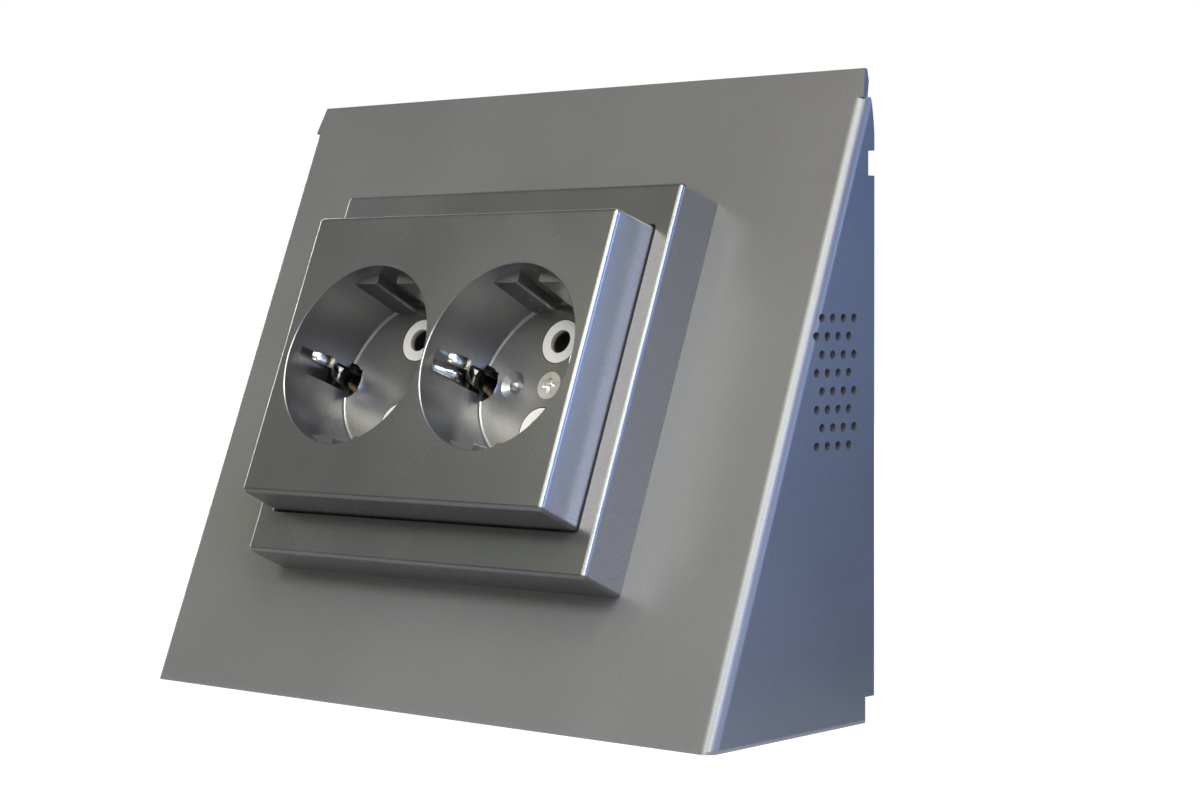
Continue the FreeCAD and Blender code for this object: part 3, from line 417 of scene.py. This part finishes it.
def give(material, *names):
    """Puts a material on pieces that come from the CAD model."""
    for name in names:
        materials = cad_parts[name].data.materials
        materials.clear()
        materials.append(material)


# Painted light and shade: the hood's colour is painted lighter towards its foot and a little towards the
# left, and darker towards the top, standing in for how the light falls on it.
hood_lacquer = coated("hood_lacquer", flake_lacquer,
                      {"Colour": (0.24, 0.237, 0.222, 1), "Flakes": 0.05, "Clouds": 0.03,
                       "Roughness": 0.4, "Painted Light Slope": (-0.5, -4.0, -0.9), "Level": 0.906},
                      relief_height=0.000004, Metallic=0.5)
give(hood_lacquer, "hood")

# Wall bracket, hanger hooks, fixing angles and support plate: bent from zinc-plated steel sheet. The
# bracket is screwed to the wall; hooks and angles are spot-welded inside the hood.
zinc_plate, given, wanted = finish_group(
    "zinc_plate",
    [("Colour", "Color", (0.55, 0.56, 0.57, 1)), ("Grain", "Float", 0.12), ("Roughness", "Float", 0.38)])
rolled = noise(zinc_plate, (-3, 2), scale=60.0, detail=4.0, stretch=(1.0, 30.0, 30.0))
blotches = noise(zinc_plate, (-3, 0), scale=120.0, detail=3.0)
streaks = around_one(zinc_plate, (-1, 3), rolled, given["Grain"])
blotched = spread(zinc_plate, (-1, 1), blotches, 0.96, 1.04)
complete(zinc_plate, given, wanted,
         calculate(zinc_plate, (0, 2), "MULTIPLY", streaks, blotched),
         spread(zinc_plate, (-1, -1), blotches, -0.04, 0.04), rolled)

zinc_steel = coated("zinc_steel", zinc_plate, {}, relief_height=0.00001, Metallic=1.0)
give(zinc_steel, "wall_bracket", "hanger_hooks", "fixing_angles", "support_plate")

# Cable grommet: moulded from black rubber and pushed into the round hole of the bracket, so that the
# sheet's edge can't cut the supply cable.
# Painted shade: below a rim the moulding's colour is darkened, standing in for the shade deep inside it, and
# it falls off over this height.
rim_fade = 0.0006
moulded, given, wanted = finish_group(
    "moulded",
    [("Colour", "Color", (0.7, 0.66, 0.56, 1)), ("Mottle", "Float", 0.04), ("Roughness", "Float", 0.45),
     ("Rim Axis", "Vector", (0, 0, 0)), ("Rim Level", "Float", -1.0), ("Shade Below Rim", "Float", 1.0)])
fine = noise(moulded, (-3, 2), scale=1800.0, detail=3.0)
broad = noise(moulded, (-3, 0), scale=70.0, detail=2.0)
mottled = around_one(moulded, (-1, 3), broad, given["Mottle"])
rim = node(moulded, "ShaderNodeMapRange", (-1, 5))
moulded.links.new(measured_along(moulded, (-2, 5), given["Rim Axis"]), rim.inputs["Value"])
moulded.links.new(calculate(moulded, (-2, 6), "SUBTRACT", given["Rim Level"], rim_fade),
                  rim.inputs["From Min"])
moulded.links.new(given["Rim Level"], rim.inputs["From Max"])
moulded.links.new(given["Shade Below Rim"], rim.inputs["To Min"])
complete(moulded, given, wanted,
         calculate(moulded, (0, 3), "MULTIPLY", mottled, rim.outputs["Result"]),
         spread(moulded, (-1, -1), fine, -0.06, 0.06), fine)

black_rubber = coated("black_rubber", moulded,
                      {"Colour": (0.022, 0.022, 0.023, 1), "Mottle": 0.2, "Roughness": 0.62},
                      relief_height=0.00004)
give(black_rubber, "cable_grommet")

# Screws, rivets and the earth stud: zinc-plated steel, rolled and headed. The hood screws come from
# below through the bracket's shelf; the stud is welded on and carries washer, lug and nut.
machined, given, wanted = finish_group(
    "machined",
    [("Colour", "Color", (0.6, 0.6, 0.6, 1)), ("Streaks", "Float", 0.1), ("Roughness", "Float", 0.25)])
scratches = noise(machined, (-3, 2), scale=500.0, detail=3.0, stretch=(1.0, 6.0, 1.0))
tarnish = noise(machined, (-3, 0), scale=180.0, detail=3.0)
complete(machined, given, wanted,
         around_one(machined, (-1, 3), tarnish, given["Streaks"]),
         spread(machined, (-1, -1), scratches, -0.06, 0.06), scratches)

screw_steel = coated("screw_steel", machined, {}, relief_height=0.00001, Metallic=1.0)
give(screw_steel, "hood_screws", "earth_stud", "stud_washer", "stud_nut", "support_screws", "base_rivets")

# Earth lead, its ring lug and its push-on sleeve: a soft green lead with a yellow stripe, crimped
# into tinned copper at both ends. It joins the sockets' earth rail to the metal housing.
tinned_copper = coated("tinned_copper", machined,
                       {"Colour": (0.7, 0.69, 0.67, 1), "Streaks": 0.12, "Roughness": 0.33},
                       relief_height=0.00001, Metallic=1.0)
give(tinned_copper, "ring_lug", "tab_receptacle")
lead_green = coated("lead_green", moulded, {"Colour": (0.06, 0.25, 0.03, 1), "Roughness": 0.4},
                    relief_height=0.000004)
lead_yellow = coated("lead_yellow", moulded, {"Colour": (0.8, 0.62, 0.03, 1), "Roughness": 0.4},
                     relief_height=0.000004)

millimetre = 0.001
plate_middle = Vector((0, -26.336, 12.5))
plate_lean = math.radians(21.9)
up_plate = Vector((0, math.sin(plate_lean), math.cos(plate_lean)))
off_plate = Vector((0, -math.cos(plate_lean), math.sin(plate_lean)))


def on_plate(right, up, out):
    """A point given in millimetres from the middle of the hood's slanted front."""
    return (plate_middle + Vector((right, 0, 0)) + up_plate * up + off_plate * out) * millimetre


def new_piece(name, surface, materials):
    """An object made from a finished surface, with its materials."""
    bmesh.ops.recalc_face_normals(surface, faces=surface.faces)
    mesh = bpy.data.meshes.new(name)
    surface.to_mesh(mesh)
    surface.free()
    for material in materials:
        mesh.materials.append(material)
    piece = bpy.data.objects.new(name, mesh)
    bpy.context.scene.collection.objects.link(piece)
    return piece


def join_rings(surface, rings):
    """Skins a row of rings of points and closes both ends; gives each side face with its number."""
    rows = [[surface.verts.new(point) for point in ring] for ring in rings]
    sides = []
    for first, second in zip(rows, rows[1:]):
        for i in range(len(first)):
            j = (i + 1) % len(first)
            sides.append((i, surface.faces.new((first[i], first[j], second[j], second[i]))))
    surface.faces.new(rows[0])
    surface.faces.new(rows[-1])
    return sides


lead_route = [on_plate(32.0, -28.5, -9.6), on_plate(32.0, -32.3, -9.6), on_plate(33.5, -37.2, -13.0),
              on_plate(39.3, -39.3, -14.6), on_plate(45.4, -37.0, -12.3), on_plate(48.0, -30.0, -3.65),
              on_plate(56.5, -30.0, -3.65)]
lead_radius = 1.5 * millimetre
lead_steps = 16
lead_line = bpy.data.curves.new("lead_line", "CURVE")
lead_line.dimensions = "3D"
lead_line.resolution_u = lead_steps
lead_spline = lead_line.splines.new("NURBS")
lead_spline.points.add(len(lead_route) - 1)
for point, place in zip(lead_spline.points, lead_route):
    point.co = (*place, 1)
lead_spline.order_u = 3
lead_spline.use_endpoint_u = True
lead_guide = bpy.data.objects.new("lead_line", lead_line)
lead_points = [vertex.co.copy() for vertex in bpy.data.meshes.new_from_object(lead_guide).vertices]
bpy.data.objects.remove(lead_guide)

sheath = bmesh.new()
sheath_sides = 24
stripe_turn = math.radians(540)
stripe_share = 0.35
rings = []
away = Vector((1, 0, 0))
for i, place in enumerate(lead_points):
    along = (lead_points[min(i + 1, len(lead_points) - 1)] - lead_points[max(i - 1, 0)]).normalized()
    away = (away - along * away.dot(along)).normalized()
    beside = along.cross(away)
    turn = stripe_turn * i / (len(lead_points) - 1)
    angles = [turn + 2 * math.pi * k / sheath_sides for k in range(sheath_sides)]
    rings.append([place + (away * math.cos(a) + beside * math.sin(a)) * lead_radius for a in angles])
for k, face in join_rings(sheath, rings):
    face.smooth = True
    face.material_index = 1 if k < stripe_share * sheath_sides else 0
lead = new_piece("earth_lead", sheath, [lead_green, lead_yellow])
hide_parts("bonding_lead")
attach(lead, "fixed_parts")

# Socket base with rear plate and terminal block: heat-proof moulding that holds every contact. Its
# four cream collars stand through the cover and are all that shows of it; below the collars' rim its
# colour is painted dark, a painted shade for the pin bores and the space inside.
collar_rim = 4.2
cream_look = {"Colour": (0.8, 0.77, 0.68, 1), "Mottle": 0.04, "Roughness": 0.42}
cream_plastic = coated("cream_plastic", moulded, cream_look, relief_height=0.00002)
give(cream_plastic, "rear_plate", "terminal_block")
# Painted shade: this copy of the cream plastic, on the base, is darkened to a tenth below the collars' rim.
rim_shade_look = {"Rim Axis": off_plate, "Rim Level": on_plate(0, 0, collar_rim).dot(off_plate), "Shade Below Rim": 0.1}
cream_plastic_painted_shade = coated("cream_plastic_painted_shade", moulded, {**cream_look, **rim_shade_look}, relief_height=0.00002)
give(cream_plastic_painted_shade, "socket_base")

# Rails and pin contacts: stamped bronze strip. Each pin is gripped by a pair of spring leaves that
# stand on its rail.
contact_bronze = coated("contact_bronze", machined,
                        {"Colour": (0.34, 0.23, 0.13, 1), "Streaks": 0.15, "Roughness": 0.38},
                        relief_height=0.00001, Metallic=1.0)
give(contact_bronze, "line_rail", "neutral_rail", "earth_rail",
     *[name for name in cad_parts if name.startswith(("line_leaf", "neutral_leaf"))])

# Earth contact strips: bent spring strip, nickel-plated, riveted to the earth rail's uprights. One
# stands in the wall slot on each side of a recess and presses on the plug's side contact.
nickel_spring = coated("nickel_spring", machined,
                       {"Colour": (0.74, 0.72, 0.67, 1), "Streaks": 0.06, "Roughness": 0.14},
                       relief_height=0.000002, Metallic=1.0)
strip_line = [(18.2, 1.2), (18.2, 9.3), (14.9, 13.2), (14.6, 14.4), (14.9, 15.4), (16.55, 18.1)]
strip_sheet = 0.6
strip_top_edge = 2.0
strip_low_edge = ((1.2, -2.0), (4.8, -2.0), (13.2, -0.4), (30.0, -0.4))
strip_chamfer = 0.1
strip_end_round = 0.35
bend_reach = 1.3
bend_steps = 6
sharp_edge = math.radians(30)
recess_middle = 20.0


def bent_line(points, reach):
    """The line through the points with its corners bent round, as a press tool leaves them."""
    line = [Vector(points[0])]
    for before, corner, after in zip(points, points[1:], points[2:]):
        corner, before, after = Vector(corner), Vector(before), Vector(after)
        into = corner + (before - corner).normalized() * min(reach, (before - corner).length / 2)
        out_of = corner + (after - corner).normalized() * min(reach, (after - corner).length / 2)
        for k in range(bend_steps + 1):
            t = k / bend_steps
            line.append(into * (1 - t) ** 2 + corner * 2 * t * (1 - t) + out_of * t ** 2)
    line.append(Vector(points[-1]))
    return line


def between(table, value):
    """Reads a value off a table of pairs, along a straight line from each pair to the next."""
    for (a, first), (b, second) in zip(table, table[1:]):
        if value <= b:
            return first + (second - first) * max(0.0, value - a) / (b - a)
    return table[-1][1]


def earth_strip(name, centre, side):
    """One strip, on the left or the right side of the recess whose middle is at centre."""
    line = bent_line(strip_line, bend_reach)
    surface = bmesh.new()
    rings = []
    thin = 1 - 2 * strip_chamfer / strip_sheet
    for i, place in enumerate(line):
        along = (line[min(i + 1, len(line) - 1)] - line[max(i - 1, 0)]).normalized()
        across = Vector((-along.y, along.x)) * strip_sheet / 2
        low, high = between(strip_low_edge, place.y), strip_top_edge
        if i == len(line) - 1:
            low, high = low + strip_end_round, high - strip_end_round
        low_in, high_in = low + strip_chamfer, high - strip_chamfer
        ring = []
        for up, out in ((low, -thin), (low_in, -1), (high_in, -1), (high, -thin),
                        (high, thin), (high_in, 1), (low_in, 1), (low, thin)):
            reach, level = place + across * out
            ring.append(on_plate(centre + side * reach, up, level))
        rings.append(ring)
    for _, face in join_rings(surface, rings):
        face.smooth = True
    for edge in surface.edges:
        if len(edge.link_faces) == 2 and edge.calc_face_angle() > sharp_edge:
            edge.smooth = False
    return new_piece(name, surface, [nickel_spring])


for socket, centre in (("left", -recess_middle), ("right", recess_middle)):
    for wall, side in (("left", -1), ("right", 1)):
        strip = earth_strip("earth_strip_%s_%s" % (socket, wall), centre, side)
        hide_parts("earth_clip_%s_%s" % (socket, wall))
        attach(strip, "earth_clip_%s_%s" % (socket, wall))

# Terminal clamps and release buttons: a steel spring grips each core of the supply cable, and an
# orange button beside the wire hole pushes the spring off again.
spring_steel = coated("spring_steel", machined, {"Colour": (0.5, 0.5, 0.5, 1), "Roughness": 0.28},
                      relief_height=0.00001, Metallic=1.0)
give(spring_steel, *[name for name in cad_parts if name.startswith("clamp_")])
button_plastic = coated("button_plastic", moulded,
                        {"Colour": (0.8, 0.22, 0.03, 1), "Mottle": 0.05, "Roughness": 0.3},
                        relief_height=0.00001)
give(button_plastic, *[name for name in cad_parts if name.startswith("release_button")])

# Cover frame and socket cover: moulded in plastic and sprayed in the hood's silver grey, with a
# glossier coat. The frame lies round the cover, and the cover's lip holds it down.
# Painted light and shade: the frame's colour is painted lighter towards its left and its foot, and darker
# towards the right and the top, standing in for how the light falls on it.
frame_lacquer = coated("frame_lacquer", flake_lacquer,
                       {"Colour": (0.28, 0.277, 0.265, 1), "Flakes": 0.07, "Clouds": 0.03,
                        "Roughness": 0.28, "Painted Light Slope": (-1.9, 0.0, -2.0), "Level": 1.1},
                       relief_height=0.000003, Metallic=0.85)
# Painted light and shade: the cover's colour is painted lighter towards its right and darker towards its
# left, standing in for how the light falls on it.
cover_lacquer = coated("cover_lacquer", flake_lacquer,
                       {"Colour": (0.295, 0.292, 0.28, 1), "Flakes": 0.07, "Clouds": 0.03,
                        "Roughness": 0.28, "Painted Light Slope": (2.6, 0.0, 0.0)},
                       relief_height=0.000003, Metallic=0.85)
give(frame_lacquer, "cover_frame")
give(cover_lacquer, "socket_cover")

# Cover screw and its bush: a bright countersunk screw in the floor of the right recess draws the cover
# down into a brass bush in the base.
bright_screw = coated("bright_screw", machined,
                      {"Colour": (0.86, 0.85, 0.82, 1), "Streaks": 0.05, "Roughness": 0.34},
                      relief_height=0.000005, Metallic=1.0)
give(bright_screw, "cover_screw")
brass_bush = coated("brass_bush", machined, {"Colour": (0.72, 0.54, 0.24, 1)},
                    relief_height=0.00001, Metallic=1.0)
give(brass_bush, "threaded_bush")
